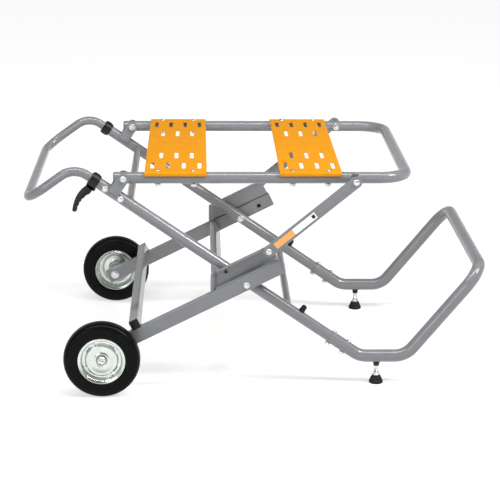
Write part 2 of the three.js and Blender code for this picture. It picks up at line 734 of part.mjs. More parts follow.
/** Closed section of the rim: hub, dished disc, drum and both flanges. */
function rimSection() {
  const hub = { bore: wheel.bore, radius: 15, inboard: -43, outboard: 10 };
  const drum = { radius: 56.3, wall: 2.5, edge: 20.3, lip: 61.5, sheet: 2.2 };
  const inner = drum.radius - drum.wall;
  return [
    [hub.bore, hub.inboard], [hub.radius, hub.inboard], [hub.radius, hub.outboard - 3],
    [24, hub.outboard - 3], [30, 12], [42, 12], [inner, 6], [inner, -drum.edge - drum.sheet],
    [drum.lip, -drum.edge - drum.sheet], [drum.lip, -drum.edge], [drum.radius, -drum.edge],
    [drum.radius, drum.edge], [drum.lip, drum.edge], [drum.lip, drum.edge + drum.sheet],
    [inner, drum.edge + drum.sheet], [inner, 9], [42, 15], [30, 15], [23, hub.outboard],
    [hub.bore, hub.outboard],
  ];
}

// ---------------------------------------------------------------- release lever and feet

/** Curved lever under the right collar, with finger bumps on its inner edge. */
function releaseLever() {
  const pivot = onMain(leverPivot.s, leverPivot.t);
  const spine = new THREE.QuadraticBezierCurve(
    new THREE.Vector2(pivot[0], pivot[1]),
    new THREE.Vector2(pivot[0] + lever.shoulder[0], pivot[1] + lever.shoulder[1]),
    new THREE.Vector2(pivot[0] + lever.end[0], pivot[1] + lever.end[1]),
  );
  const outer = [];
  const inner = [];
  for (let i = 0; i <= lever.steps; i += 1) {
    const u = i / lever.steps;
    const point = spine.getPoint(u);
    const way = spine.getTangent(u);
    const half = lever.tip + (lever.root - lever.tip) * (1 - u) ** lever.taper;
    const wave = Math.sin((u - lever.gripStart) * Math.PI * lever.bumpRate);
    const bump = u > lever.gripStart ? lever.bump * wave ** 2 : 0;
    outer.push([point.x + way.y * half, point.y - way.x * half]);
    inner.push([point.x - way.y * (half + bump), point.y + way.x * (half + bump)]);
  }
  const faces = [-trackHalf - lever.halfThickness, -trackHalf + lever.halfThickness];
  const blade = slab(outline([...outer, ...inner.reverse()]), ...faces);
  const hub = pin(pivot, leverPivot.hub, ...faces, 20);
  add('release_lever', carve(blade, [leverHole()], [hub]), blackPlastic);
}

/** Levelling feet: a rubber pad on a threaded stud. */
function feet() {
  const floor = -pivotHeight;
  for (const [side, s] of Object.entries(sideSign)) {
    const y = s * trackHalf;
    const { radius, rim, neck, top } = footPad;
    const profile = [
      [0, 0], [radius, 0], [radius, rim], [radius * 0.82, top * 0.55], [radius * 0.6, top * 0.82],
      [neck, top], [0, top],
    ].map(([distance, height]) => new THREE.Vector2(distance, height));
    const pad = new THREE.LatheGeometry(profile, 24);
    pad.rotateX(Math.PI / 2);
    pad.translate(originX + footOffset, y, 0);
    add(`foot_pad_${side}`, carve(pad, []), blackRubber);
    const low = floor + top + gap;
    add(`foot_stud_${side}`, carve(atFoot(footStud.radius, low, baseLow - footStud.insideTube, y), [], [
      atFoot(footStud.nut, low, low + footStud.nutHeight, y, 6),
    ]), zinc);
  }
}

mainFrame();
wheelFrame();
table();
links();
wheels();
releaseLever();
feet();

export default group;
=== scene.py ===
"""Looks of the folding saw stand: tubes, pressed and turned detail, materials, lights and camera.

Lengths are in millimetres until a mesh is finished, which scales it to metres.
"""

import json
import math

import bmesh
import bpy
from mathutils import Matrix, Vector

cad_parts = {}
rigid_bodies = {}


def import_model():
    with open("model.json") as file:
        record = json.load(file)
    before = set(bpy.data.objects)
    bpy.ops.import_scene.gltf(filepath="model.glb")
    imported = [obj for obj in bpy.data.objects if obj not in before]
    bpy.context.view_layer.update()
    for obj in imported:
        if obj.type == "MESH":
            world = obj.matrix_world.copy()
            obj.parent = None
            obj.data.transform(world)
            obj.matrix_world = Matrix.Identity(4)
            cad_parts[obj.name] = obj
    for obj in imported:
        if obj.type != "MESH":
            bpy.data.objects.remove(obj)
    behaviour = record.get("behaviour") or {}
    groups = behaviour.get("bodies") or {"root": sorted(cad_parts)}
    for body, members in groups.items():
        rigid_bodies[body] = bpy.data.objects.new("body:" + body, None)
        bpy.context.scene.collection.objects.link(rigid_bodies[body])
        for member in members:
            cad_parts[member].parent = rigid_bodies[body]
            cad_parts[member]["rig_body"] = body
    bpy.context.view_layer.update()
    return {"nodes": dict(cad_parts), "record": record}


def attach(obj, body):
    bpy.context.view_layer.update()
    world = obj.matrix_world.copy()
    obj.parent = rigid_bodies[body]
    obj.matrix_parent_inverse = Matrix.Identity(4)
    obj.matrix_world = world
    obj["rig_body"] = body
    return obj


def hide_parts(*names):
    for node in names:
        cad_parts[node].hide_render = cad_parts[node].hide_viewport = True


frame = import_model()

SIDES = {"right": -1, "left": 1}
MM = 0.001
X_AXIS, Y_AXIS, Z_AXIS = Vector((1, 0, 0)), Vector((0, 1, 0)), Vector((0, 0, 1))

# ---------------------------------------------------------------- places of the stand

ORIGIN_X = -27.4
PIVOT_HEIGHT = 283.7
TRACK = 325.0
GAP = 0.3
MAIN_SLOPE = math.radians(-34.6)
LEG_SLOPE = math.radians(26.6)

AXLE = (-376.8, -183.7)
TABLE_HINGE = (-319, 278.3)
LINK_TOP = (279, 278.3)
HANDLE_VERTEX = (-445.3, 307.3)
HANDLE_END = (-570, 217.3)
BASE_LOW = -208.8
BASE_RISE = 425.8
BASE_END = (620, 31)
FOOT_OFFSET = 348.3
TABLE_END = 418
RAIL_START = -343
WHEEL_MIDDLE = 415.0

MAIN_R, HANDLE_R, BASE_R, CROSS_R = 15.0, 12.0, 16.8, 10.0


def at(offset, y=0.0):
    """Point of the stand from its offset to the leg pivot."""
    return Vector((ORIGIN_X + offset[0], y, PIVOT_HEIGHT + offset[1]))


def turned_axes(slope):
    """Unit vectors along and above a sloping line in the XZ plane."""
    return Vector((math.cos(slope), 0, math.sin(slope))), Vector((-math.sin(slope), 0, math.cos(slope)))


main_way, main_up = turned_axes(MAIN_SLOPE)
leg_way, leg_up = turned_axes(LEG_SLOPE)


def on_main(s, t=0.0):
    """Offset of a point s along a main tube from the leg pivot and t above its centre line."""
    point = main_way * s + main_up * t
    return point.x, point.z


def on_leg(s, t=0.0):
    """Offset of a point s along a wheel leg from the axle and t above its centre line."""
    point = leg_way * s + leg_up * t
    return AXLE[0] + point.x, AXLE[1] + point.z


LINK_BOTTOM = on_leg(511.8, 54.6)

# ---------------------------------------------------------------- node materials


class Nodes:
    """Short form for building a material's node tree."""

    def __init__(self, name):
        self.material = bpy.data.materials.new(name)
        self.material.use_nodes = True
        self.tree = self.material.node_tree
        self.shader = self.tree.nodes["Principled BSDF"]
        coordinates = self.tree.nodes.new("ShaderNodeTexCoord")
        self.place = coordinates.outputs["Object"]

    def node(self, kind, **settings):
        made = self.tree.nodes.new(kind)
        for key, value in settings.items():
            setattr(made, key, value)
        return made

    def link(self, source, target):
        self.tree.links.new(source, target)

    def noise(self, scale, detail=3.0, roughness=0.5, stretch=(1, 1, 1)):
        mapping = self.node("ShaderNodeMapping")
        mapping.inputs["Scale"].default_value = stretch
        self.link(self.place, mapping.inputs["Vector"])
        made = self.node("ShaderNodeTexNoise")
        made.inputs["Scale"].default_value = scale
        made.inputs["Detail"].default_value = detail
        made.inputs["Roughness"].default_value = roughness
        self.link(mapping.outputs["Vector"], made.inputs["Vector"])
        return made.outputs["Fac"]

    def ramp(self, factor, *stops):
        made = self.node("ShaderNodeValToRGB")
        while len(made.color_ramp.elements) < len(stops):
            made.color_ramp.elements.new(0.5)
        for element, (position, color) in zip(made.color_ramp.elements, stops):
            element.position = position
            element.color = (*color, 1) if len(color) == 3 else color
        self.link(factor, made.inputs["Fac"])
        return made.outputs["Color"]

    def grey_ramp(self, factor, *stops):
        return self.ramp(factor, *[(place, (value,) * 3) for place, value in stops])

    def map_range(self, factor, low, high):
        made = self.node("ShaderNodeMapRange")
        made.inputs["To Min"].default_value = low
        made.inputs["To Max"].default_value = high
        self.link(factor, made.inputs["Value"])
        return made.outputs["Result"]

    def bump(self, *layers):
        """Stacks (height, strength, distance) layers into the shader's normal."""
        normal = None
        for height, strength, distance in layers:
            made = self.node("ShaderNodeBump")
            made.inputs["Strength"].default_value = strength
            made.inputs["Distance"].default_value = distance
            self.link(height, made.inputs["Height"])
            if normal is not None:
                self.link(normal, made.inputs["Normal"])
            normal = made.outputs["Normal"]
        self.link(normal, self.shader.inputs["Normal"])

    def color(self, source):
        self.link(source, self.shader.inputs["Base Color"])

    def roughness(self, source):
        self.link(source, self.shader.inputs["Roughness"])

    def set(self, **values):
        for key, value in values.items():
            self.shader.inputs[key.replace("_", " ")].default_value = value
        return self.material


def powder_coat(name, dark, light, rough, coat, specular=0.4):
    """Semi-gloss powder coat: faint mottling, slow gloss changes and slight waviness."""
    n = Nodes(name)
    n.color(n.ramp(n.noise(26, 3), (0.3, dark), (0.7, light)))
    n.roughness(n.map_range(n.noise(9, 2), *rough))
    n.bump((n.noise(30, 2), 0.05, 0.0004))
    return n.set(Coat_Weight=coat, Coat_Roughness=0.1, Specular_IOR_Level=specular)


def zinc_plate(name, dark, light, rough=(0.16, 0.34)):
    """Bright zinc: cloudy passivation and a fine drawn grain."""
    n = Nodes(name)
    n.color(n.ramp(n.noise(24, 3, 0.5), (0.3, dark), (0.7, light)))
    n.roughness(n.map_range(n.noise(90, 2), *rough))
    n.bump((n.noise(600, 2), 0.02, 0.0001), (n.noise(150, 2), 0.02, 0.0002))
    return n.set(Metallic=1.0)


def moulded(name, dark, light, rough, grain, specular=0.5):
    """Moulded plastic or rubber: fine surface grain with slight shade and gloss changes."""
    n = Nodes(name)
    n.color(n.ramp(n.noise(60, 4), (0.3, dark), (0.75, light)))
    n.roughness(n.map_range(n.noise(200, 3), *rough))
    n.bump((n.noise(grain, 3), 0.1, 0.0003), (n.noise(45, 2), 0.04, 0.001))
    return n.set(Specular_IOR_Level=specular)


paint = powder_coat(
    "grey_powder_coat", (0.172, 0.178, 0.189), (0.186, 0.193, 0.204), rough=(0.2, 0.26), coat=0.25
)
orange = powder_coat(
    "orange_powder_coat", (0.60, 0.235, 0.002), (0.64, 0.255, 0.003), rough=(0.5, 0.6), coat=0.0, specular=0.1
)
zinc = zinc_plate("bright_zinc", (0.62, 0.63, 0.64), (0.74, 0.75, 0.76), rough=(0.24, 0.34))
rim_zinc = zinc_plate("passivated_zinc", (0.60, 0.64, 0.61), (0.72, 0.76, 0.72), rough=(0.2, 0.3))
plastic = moulded("black_plastic", (0.004, 0.004, 0.005), (0.008, 0.008, 0.009), (0.34, 0.46), 900, 0.3)
rubber = moulded("black_rubber", (0.006, 0.006, 0.006), (0.011, 0.011, 0.011), (0.5, 0.64), 500, 0.25)
tyre_rubber = moulded("tyre_rubber", (0.0015, 0.0015, 0.0018), (0.0025, 0.0025, 0.003), (0.3, 0.4), 420, 0.1)

SLOT_MATERIAL = {
    "stand_paint": paint,
    "zinc_hardware": zinc,
    "plate_paint": orange,
    "black_plastic": plastic,
    "black_rubber": rubber,
    "tyre_rubber": tyre_rubber,
}


def label_print(name, cloud_scale, dark, light, rough):
    """Printed label, slightly clouded, without lettering."""
    n = Nodes(name)
    n.color(n.ramp(n.noise(cloud_scale, 2), (0.3, dark), (0.7, light)))
    n.roughness(n.map_range(n.noise(220, 2), *rough))
    n.bump((n.noise(700, 2), 0.04, 0.0002))
    return n.set(Coat_Weight=0.3, Coat_Roughness=0.1)


# ---------------------------------------------------------------- mesh helpers


def finish_mesh(bm, name):
    """Scales a mesh made in millimetres to metres and stores it."""
    bmesh.ops.recalc_face_normals(bm, faces=bm.faces)
    bm.transform(Matrix.Scale(MM, 4))
    mesh = bpy.data.meshes.new(name)
    bm.to_mesh(mesh)
    bm.free()
    return mesh


def merge(meshes, name="merged"):
    """Joins finished meshes into one."""
    bm = bmesh.new()
    for mesh in meshes:
        bm.from_mesh(mesh)
    joined = bpy.data.meshes.new(name)
    bm.to_mesh(joined)
    bm.free()
    return joined


def skin(bm, rings, closed_ring=True, closed_path=False):
    """Faces between following rings of vertices; a ring of one vertex is a point."""
    pairs = list(zip(rings, rings[1:]))
    if closed_path:
        pairs.append((rings[-1], rings[0]))
    for low, high in pairs:
        count = max(len(low), len(high))
        for k in range(count if closed_ring else count - 1):
            following = (k + 1) % count
            if len(low) == 1:
                bm.faces.new((low[0], high[following], high[k]))
            elif len(high) == 1:
                bm.faces.new((low[k], low[following], high[0]))
            else:
                bm.faces.new((low[k], low[following], high[following], high[k]))


def axes_of(axis):
    """Two unit vectors square to an axis and to each other."""
    axis = axis.normalized()
    side = axis.cross(Z_AXIS if abs(axis.z) < 0.9 else X_AXIS).normalized()
    return side, axis.cross(side)


def lathe(profile, origin, axis=Y_AXIS, segments=48, loop=False):
    """Turns (radius, height) pairs about an axis; loop joins the last pair to the first."""
    side, up = axes_of(axis)
    axis = axis.normalized()
    bm = bmesh.new()
    rings = []
    for radius, height in profile:
        centre = origin + axis * height
        if radius < 1e-6:
            rings.append([bm.verts.new(centre)])
            continue
        angles = [2 * math.pi * k / segments for k in range(segments)]
        spokes = [side * math.cos(a) + up * math.sin(a) for a in angles]
        rings.append([bm.verts.new(centre + spoke * radius) for spoke in spokes])
    skin(bm, rings, closed_path=loop)
    return finish_mesh(bm, "lathe")


def rounded(points, radius, steps=3, loop=False):
    """The same outline with its corners rounded."""
    result = []
    count = len(points)
    for k, point in enumerate(points):
        here = Vector(point)
        if not loop and k in (0, count - 1):
            result.append(tuple(here))
            continue
        before = Vector(points[k - 1]) - here
        after = Vector(points[(k + 1) % count]) - here
        reach = min(radius, before.length * 0.45, after.length * 0.45)
        start = here + before.normalized() * reach
        end = here + after.normalized() * reach
        for i in range(steps + 1):
            t = i / steps
            result.append(tuple(start * (1 - t) ** 2 + here * 2 * t * (1 - t) + end * t * t))
    return result


def bent_path(corners, radii, step=math.radians(4)):
    """Points and headings of a path of straight runs and arcs."""
    path = [(corners[0], (corners[1] - corners[0]).normalized())]
    for k, radius in enumerate(radii, 1):
        way = (corners[k] - corners[k - 1]).normalized()
        onward = (corners[k + 1] - corners[k]).normalized()
        turn = way.angle(onward)
        side = (onward - way * way.dot(onward)).normalized()
        start = corners[k] - way * radius * math.tan(turn / 2)
        count = math.ceil(turn / step)
        for i in range(count + 1):
            a = turn * i / count
            point = start + way * radius * math.sin(a) + side * radius * (1 - math.cos(a))
            path.append((point, way * math.cos(a) + side * math.sin(a)))
    path.append((corners[-1], (corners[-1] - corners[-2]).normalized()))
    return path


def sweep(path, outer, inner=None, normal=None, lip=0.4):
    """Sweeps outer along a path, hollow where inner is given. Both map a lip inset to 2D points."""
    first_point, first_way = path[0]
    last_point, last_way = path[-1]
    stations = [(first_point, first_way, lip), (first_point + first_way * lip, first_way, 0)]
    stations += [(point, way, 0) for point, way in path[1:-1]]
    stations += [(last_point - last_way * lip, last_way, 0), (last_point, last_way, lip)]
    side = normal or axes_of(first_way)[0]
    before = first_way
    bm = bmesh.new()
    shells = [[], []]
    for point, way, inset in stations:
        side = before.rotation_difference(way) @ side
        before = way
        up = way.cross(side)
        for shell, shape in zip(shells, (outer, inner)):
            if shape:
                shell.append([bm.verts.new(point + side * x + up * y) for x, y in shape(inset)])
    skin(bm, shells[0])
    if inner:
        skin(bm, shells[1])
        for end in (0, -1):
            skin(bm, [shells[0][end], shells[1][end]])
    else:
        for end in (0, -1):
            bm.faces.new(shells[0][end])
    return finish_mesh(bm, "sweep")


def circle(radius, sides=44):
    """Section of a round tube, drawn in by the lip inset."""
    angles = [2 * math.pi * k / sides for k in range(sides)]
    return lambda inset: [((radius - inset) * math.cos(a), (radius - inset) * math.sin(a)) for a in angles]


def rectangle(width, height, radius, steps=5):
    """Section of a square tube with round corners, drawn in by the lip inset."""

    def points(inset):
        x, y = width / 2 - inset, height / 2 - inset
        corners = [(-x, -y), (x, -y), (x, y), (-x, y)]
        return rounded(corners, radius, steps, loop=True)

    return points


def round_tube(radius, wall, corners, radii=()):
    """Round tube bent along a list of corners."""
    return sweep(bent_path(corners, radii), circle(radius), circle(radius - wall))


def square_tube(start, end, up, width, height, wall, radius):
    """Straight rectangular tube; height is measured along up."""
    way = (end - start).normalized()
    outer = rectangle(height, width, radius)
    inner = rectangle(height - 2 * wall, width - 2 * wall, max(radius - wall, 0.8))
    return sweep([(start, way), (end, way)], outer, lambda inset: inner(0), normal=up)


def extrude(points, origin, u, v, way, length, bevel=0.5, segments=2):
    """Prism of a 2D outline in the plane of u and v, with its sharp edges rounded."""
    bm = bmesh.new()
    ring = [bm.verts.new(origin + u * x + v * y) for x, y in points]
    grown = bmesh.ops.extrude_face_region(bm, geom=[bm.faces.new(ring)])
    lifted = [item for item in grown["geom"] if isinstance(item, bmesh.types.BMVert)]
    bmesh.ops.translate(bm, verts=lifted, vec=way.normalized() * length)
    bmesh.ops.recalc_face_normals(bm, faces=bm.faces)
    sharp = [edge for edge in bm.edges if edge.calc_face_angle(0) > math.radians(30)]
    bmesh.ops.bevel(bm, geom=sharp, offset=bevel, segments=segments, affect="EDGES", profile=0.5)
    return finish_mesh(bm, "extrusion")


def slab(offsets, low, high, bevel=0.5):
    """Plate in the XZ plane between two Y planes, from offsets."""
    return extrude(offsets, at((0, 0), min(low, high)), X_AXIS, Z_AXIS, Y_AXIS, abs(high - low), bevel)


def arc(centre, radius, start, end, steps=24):
    """Points of an arc in the XZ plane, in degrees from +X towards +Z."""
    angles = [math.radians(start + (end - start) * k / steps) for k in range(steps + 1)]
    return [(centre[0] + radius * math.cos(a), centre[1] + radius * math.sin(a)) for a in angles]


def bar_outline(first, last, radius):
    """Outline of a bar with round ends between two offsets."""
    heading = math.degrees(math.atan2(last[1] - first[1], last[0] - first[0]))
    return arc(last, radius, heading - 90, heading + 90) + arc(first, radius, heading + 90, heading + 270)


def cylinder(radius, origin, axis, low, high, chamfer=0.4, segments=40):
    """Rod with chamfered ends."""
    profile = [(0, low), (radius - chamfer, low), (radius, low + chamfer), (radius, high - chamfer)]
    return lathe(profile + [(radius - chamfer, high), (0, high)], origin, axis, segments)


def hexagon(radius, origin, axis, low, high, bevel=0.5):
    """Hexagonal nut or head; radius is across the corners."""
    side, up = axes_of(axis)
    points = [(radius * math.cos(math.pi * k / 3), radius * math.sin(math.pi * k / 3)) for k in range(6)]
    start = origin + axis.normalized() * min(low, high)
    return extrude(points, start, side, up, axis, abs(high - low), bevel)


def dome_head(radius, height, origin, axis, face):
    """Domed bolt head with a thin rim under it."""
    shape = [(0, 1), (0.3, 0.97), (0.55, 0.86), (0.74, 0.68), (0.86, 0.46), (0.9, 0.3), (0.98, 0.24)]
    profile = [(radius * r, face + height * h) for r, h in shape]
    profile += [(radius, face + 0.6), (radius, face + 0.2), (radius * 0.98, face), (0, face)]
    return lathe(profile, origin, axis)


def threads(radius, origin, axis, low, high, pitch=1.5, depth=0.5):
    """Rod with the ridges of a thread."""
    count = max(2, round((high - low) / pitch))
    rise = (high - low) / count
    profile = [(0, low)]
    for k in range(count):
        start = low + k * rise
        profile += [(radius - depth, start + rise * 0.05), (radius, start + rise * 0.45)]
        profile += [(radius, start + rise * 0.55), (radius - depth, start + rise * 0.95)]
    return lathe(profile + [(0, high)], origin, axis, 32)


def bead(path, radius=1.5, loop=False, sides=8):
    """Weld bead along a path of points, with the ripples of its passes."""
    bm = bmesh.new()
    rings = []
    count = len(path)
    for k, point in enumerate(path):
        ahead = path[(k + 1) % count] if loop or k < count - 1 else point
        behind = path[k - 1] if loop or k > 0 else point
        side, up = axes_of(ahead - behind)
        swell = radius * (1 + 0.17 * math.sin(k * 2.4) + 0.08 * math.sin(k * 5.1))
        if not loop and k in (0, count - 1):
            swell *= 0.45
        angles = [2 * math.pi * i / sides for i in range(sides)]
        rings.append([bm.verts.new(point + (side * math.cos(a) + up * math.sin(a)) * swell) for a in angles])
    pairs = list(zip(rings, rings[1:])) + ([(rings[-1], rings[0])] if loop else [])
    for first, second in pairs:
        turn = min(range(sides), key=lambda s: (first[0].co - second[s].co).length)
        for i in range(sides):
            j = (i + 1) % sides
            bm.faces.new((first[i], first[j], second[(j + turn) % sides], second[(i + turn) % sides]))
    if not loop:
        bm.faces.new(rings[0])
        bm.faces.new(rings[-1])
    return finish_mesh(bm, "bead")


def line(start, end, step=1.3):
    """Evenly spaced points from one to the other."""
    count = max(2, round((end - start).length / step))
    return [start.lerp(end, k / count) for k in range(count + 1)]


def cut(mesh, cutters, operation="DIFFERENCE"):
    """Mesh after an exact boolean with each cutter."""
    obj = bpy.data.objects.new("cut", mesh)
    bpy.context.collection.objects.link(obj)
    made = []
    for cutter in cutters:
        tool = bpy.data.objects.new("cutter", cutter)
        bpy.context.collection.objects.link(tool)
        made.append(tool)
        modifier = obj.modifiers.new("cut", "BOOLEAN")
        modifier.operation = operation
        modifier.solver = "EXACT"
        modifier.object = tool
    bpy.context.view_layer.update()
    result = bpy.data.meshes.new_from_object(obj.evaluated_get(bpy.context.evaluated_depsgraph_get()))
    for item in made + [obj]:
        bpy.data.objects.remove(item)
    return result


# ---------------------------------------------------------------- pieces

slot_of = {part["node"]: part["material_slot"] for part in frame["record"]["subparts"]}


def piece(name, mesh, body, slot, material=None, smooth=35):
    """Adds a mesh as a piece that rides on a body."""
    mesh.materials.clear()
    mesh.materials.append(material or SLOT_MATERIAL[slot])
    for polygon in mesh.polygons:
        polygon.use_smooth = True
    mesh.set_sharp_from_angle(angle=math.radians(smooth))
    obj = bpy.data.objects.new(name, mesh)
    bpy.context.collection.objects.link(obj)
    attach(obj, body)
    return obj


def stand_for(node, mesh, material=None, smooth=35):
    """Adds a detailed piece in the place of a CAD node."""
    body = frame["nodes"][node]["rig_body"]
    obj = piece(f"{node}.detail", mesh, body, slot_of[node], material, smooth)
    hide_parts(node)
    return obj

# ---------------------------------------------------------------- camera, floor and lights


FLOOR_REACH = 16
HORIZON = ((0.0, 0.75), (0.14, 0.6), (0.4, 0.1))


def make_camera():
    camera = bpy.data.objects.new("camera", bpy.data.cameras.new("camera"))
    bpy.context.collection.objects.link(camera)
    camera.data.lens = 125.3
    camera.data.sensor_width = 36
    camera.data.clip_end = 100
    pitch, yaw, roll = (math.radians(a) for a in (15.87, 1.77, 0.42))
    forward = Vector((math.sin(yaw) * math.cos(pitch), math.cos(yaw) * math.cos(pitch), -math.sin(pitch)))
    right = Vector((math.cos(yaw), -math.sin(yaw), 0))
    up = right.cross(forward)
    x = right * math.cos(roll) + up * math.sin(roll)
    y = up * math.cos(roll) - right * math.sin(roll)
    turn = Matrix((x, y, -forward)).transposed().to_4x4()
    camera.matrix_world = Matrix.Translation((-0.1534, -4.6972, 1.6113)) @ turn
    bpy.context.scene.camera = camera


def area_light(name, place, aim, size, power):
    light = bpy.data.lights.new(name, "AREA")
    light.shape = "RECTANGLE"
    light.size, light.size_y = size
    light.energy = power
    obj = bpy.data.objects.new(name, light)
    bpy.context.collection.objects.link(obj)
    obj.location = place
    obj.rotation_euler = (Vector(aim) - Vector(place)).to_track_quat("-Z", "Y").to_euler()


def make_studio():
    scene = bpy.context.scene
    scene.view_settings.view_transform = "Standard"
    world = bpy.data.worlds.new("studio")
    scene.world = world
    world.use_nodes = True
    # a pale horizon under a dimmer ceiling
    tree = world.node_tree
    coordinates = tree.nodes.new("ShaderNodeTexCoord")
    split = tree.nodes.new("ShaderNodeSeparateXYZ")
    ramp = tree.nodes.new("ShaderNodeValToRGB")
    ramp.color_ramp.elements.new(0.5)
    for element, (height, grey) in zip(ramp.color_ramp.elements, HORIZON):
        element.position = height
        element.color = (grey, grey, grey, 1)
    tree.links.new(coordinates.outputs["Generated"], split.inputs["Vector"])
    tree.links.new(split.outputs["Z"], ramp.inputs["Fac"])
    tree.links.new(ramp.outputs["Color"], tree.nodes["Background"].inputs["Color"])
    mesh = bpy.data.meshes.new("floor")
    corners = [(x * FLOOR_REACH, y * FLOOR_REACH, 0) for x, y in ((-1, -1), (1, -1), (1, 1), (-1, 1))]
    mesh.from_pydata(corners, [], [(0, 1, 2, 3)])
    floor = bpy.data.objects.new("floor", mesh)
    bpy.context.collection.objects.link(floor)
    # The floor glows with painted light: its emission is 0.66 within about 1.4 m of the middle and rises to
    # 0.86 beyond about 2.9 m, so it stays white far out while cast shadows show near the stand.
    n = Nodes("glowing_floor")
    mapping = n.node("ShaderNodeMapping")
    mapping.inputs["Scale"].default_value = (0.35, 0.35, 0.35)
    n.link(n.place, mapping.inputs["Vector"])
    gradient = n.node("ShaderNodeTexGradient", gradient_type="SPHERICAL")
    n.link(mapping.outputs["Vector"], gradient.inputs["Vector"])
    n.link(n.grey_ramp(gradient.outputs["Fac"], (0, 0.86), (0.5, 0.66)), n.shader.inputs["Emission Color"])
    n.set(Base_Color=(0.45, 0.45, 0.45, 1), Roughness=0.9, Specular_IOR_Level=0.05, Emission_Strength=1.0)
    mesh.materials.append(n.material)

    area_light("overhead", (0, -0.9, 3.2), (0, 0, 0.3), (5.0, 0.35), 125)
    area_light("upper_right", (2.4, -1.4, 2.9), (0, 0, 0.3), (1.0, 0.4), 75)
    area_light("front_left", (-2.0, -3.4, 1.6), (0, 0, 0.3), (1.4, 1.2), 28)


# ---------------------------------------------------------------- tubes


def make_tubes():
    for side, s in SIDES.items():
        y = s * TRACK
        ends = [at(on_main(-484), y), at(on_main(330), y)]
        stand_for(f"main_tube_{side}", round_tube(MAIN_R, 1.8, ends))

    def u_shape(offsets):
        return [at(o, -TRACK) for o in offsets] + [at(o, TRACK) for o in reversed(offsets)]

    handle = u_shape([on_main(-375), HANDLE_VERTEX, HANDLE_END])
    stand_for("handle_tube", round_tube(HANDLE_R, 1.8, handle, [59, 60, 60, 59]))
    level_start = (BASE_LOW / math.tan(MAIN_SLOPE), BASE_LOW)
    base = u_shape([on_main(270), level_start, (BASE_RISE, BASE_LOW), BASE_END])
    stand_for("base_tube", round_tube(BASE_R, 1.5, base, [60, 60, 62, 62, 60, 60]))
    height = TABLE_HINGE[1]
    rails = u_shape([(RAIL_START, height), (TABLE_END, height)])
    stand_for("table_frame", round_tube(MAIN_R, 1.8, rails, [75, 75]))
    for name, place in (("upper_cross_tube", -369), ("lower_cross_tube", 136)):
        reach = TRACK - 8
        centre = on_main(place)
        stand_for(name, round_tube(CROSS_R, 1.8, [at(centre, -reach), at(centre, reach)]))
        for side, s in SIDES.items():
            path = []
            for k in range(52):
                a = 2 * math.pi * k / 52
                rise = (CROSS_R + 0.4) * math.sin(a)
                away = math.sqrt(MAIN_R**2 - rise**2)
                path.append(
                    at(centre, s * (TRACK - away)) + main_way * (CROSS_R + 0.4) * math.cos(a) + main_up * rise
                )
            piece(f"{name}_weld_{side}", bead(path, 1.5, loop=True), "main_frame", "stand_paint")
    for side, s in SIDES.items():
        end = at((RAIL_START, height), s * TRACK)
        profile = [
            (0, -1.6), (12.5, -1.6), (14.2, -1.1), (14.7, -0.3), (13.1, -0.3), (12.9, 0), (12.9, 14), (0, 14),
        ]
        piece(f"rail_plug_{side}", lathe(profile, end, X_AXIS), "table", "black_plastic")


# ---------------------------------------------------------------- fixings


def side_bolt(node, offset, side, head_face, nut_face, nut=7.6, length=5.2, head=8.5, washer=9.2):
    """Bolt along Y through a tube: domed head outboard, washer, nut and thread end inboard."""
    out = Y_AXIS * SIDES[side]
    origin = at(offset)
    parts = [
        dome_head(head, 5, origin, out, head_face),
        cylinder(4.9, origin, out, nut_face - length - 2.5, head_face + 1, 0.6, 28),
        cylinder(washer, origin, out, nut_face - 1.2, nut_face, 0.3),
        hexagon(nut, origin, out, nut_face - 1.2 - length, nut_face - 1.2, 0.6),
    ]
    stand_for(node, merge(parts))


def make_bolts():
    for side, s in SIDES.items():
        y = s * TRACK
        out = Y_AXIS * s
        ears = TRACK + 16.3 + 3 + GAP
        side_bolt(f"hinge_bolt_{side}", TABLE_HINGE, side, ears, 2 * TRACK - ears)
        for index, place in enumerate((-444, -396.5), 1):
            origin = at(on_main(place))
            parts = [
                dome_head(8.5, 5, origin, out, TRACK + 15.3),
                cylinder(4.9, origin, out, TRACK - 6.5, TRACK + 16, 0.8, 28),
            ]
            stand_for(f"handle_bolt_{side}_{index}", merge(parts))
        side_bolt(f"link_top_bolt_{side}", LINK_TOP, side, 379, TRACK - 15.3)
        side_bolt(f"leg_pivot_bolt_{side}", (0, 0), side, 367.3, TRACK - 15.3)
        spacer = cylinder(9, at((0, 0)), out, TRACK + 15.1, 346.8, 0.5)
        piece(f"leg_pivot_spacer_{side}", spacer, "wheel_frame", "zinc_hardware")
        for index, place in enumerate((277, 322), 1):
            origin = at(on_main(place), y)
            seat = BASE_R
            parts = [
                dome_head(7.5, 4.6, origin, main_up, seat - 0.6),
                cylinder(3.9, origin, main_up, -seat - 8, seat + 1, 0.5, 24),
                cylinder(8, origin, main_up, -seat - 0.9, -seat + 0.5, 0.3),
                hexagon(7.2, origin, main_up, -seat - 6, -seat - 0.8, 0.5),
            ]
            stand_for(f"base_bolt_{side}_{index}", merge(parts))
        origin = at(LINK_BOTTOM)
        parts = [
            dome_head(8.5, 5, origin, out, 379),
            cylinder(5, origin, out, 366.4, 380, 0.3, 28),
            cylinder(10, origin, out, 366.3, 373.4, 0.8),
        ]
        stand_for(f"link_bottom_bolt_{side}", merge(parts))
        profile = [(5.2, 340.1), (12, 340.1), (11, 342), (10, 344.5), (10, 372.8), (9.4, 373.4), (5.2, 373.4)]
        stand_for(f"link_spacer_{side}", lathe(profile, at(LINK_TOP), out, loop=True))


# ---------------------------------------------------------------- collars, brackets, bumpers


